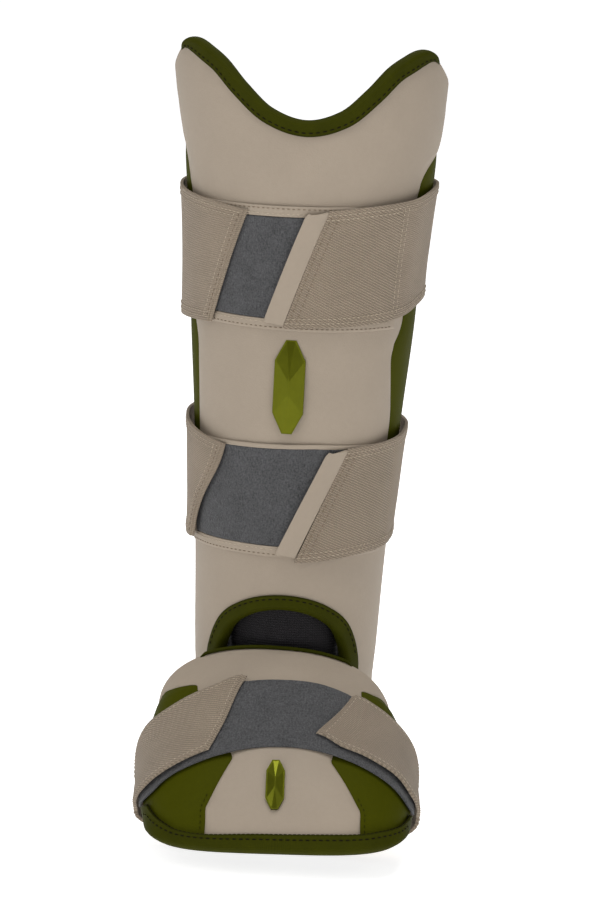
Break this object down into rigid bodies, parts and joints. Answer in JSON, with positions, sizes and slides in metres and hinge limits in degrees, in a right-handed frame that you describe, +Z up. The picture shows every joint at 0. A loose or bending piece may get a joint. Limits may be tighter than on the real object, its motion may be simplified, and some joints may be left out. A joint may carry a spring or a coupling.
{
  "type": "leg guard",
  "caption": "Batter's leg guard: a padded shin shell with an arched ankle opening and a padded foot dome, joined by a mesh gusset and held on by wide elastic straps on loop panels.",
  "frame": {"origin": "on the axis of the wearer's leg at the ankle", "axes": "+Z up the leg, -Y forwards over the toes, +X to the right as seen from the front"},
  "size_m": [0.1412, 0.1978, 0.3848],
  "materials": {
    "tan_shell": "smooth matt synthetic leather over foam, tan",
    "olive_panel": "smooth synthetic leather, dark olive",
    "olive_binding": "woven binding tape, dark olive, one row of stitches",
    "grey_loop": "brushed loop pile, mottled grey",
    "tan_elastic": "knitted elastic webbing, tan, stitched hems",
    "olive_badge": "moulded gloss plastic, olive, faceted",
    "dark_mesh": "spacer mesh, near black"
  },
  "bodies": {
    "root": {"shin_shell": "tan_shell", "foot_shell": "tan_shell", "upper_loop_trim": "tan_shell", "lower_loop_trim": "tan_shell", "upper_pull_tab": "tan_shell", "lower_pull_tab": "tan_shell", "shin_side_left": "olive_panel", "shin_side_right": "olive_panel", "foot_side_left": "olive_panel", "foot_side_right": "olive_panel", "rim_binding": "olive_binding", "arch_binding": "olive_binding", "collar_binding": "olive_binding", "toe_binding": "olive_binding", "upper_loop_panel": "grey_loop", "lower_loop_panel": "grey_loop", "foot_loop_panel": "grey_loop", "upper_strap": "tan_elastic", "lower_strap": "tan_elastic", "foot_strap": "tan_elastic", "shin_badge": "olive_badge", "toe_badge": "olive_badge", "ankle_gusset": "dark_mesh"}
  },
  "joints": []
}
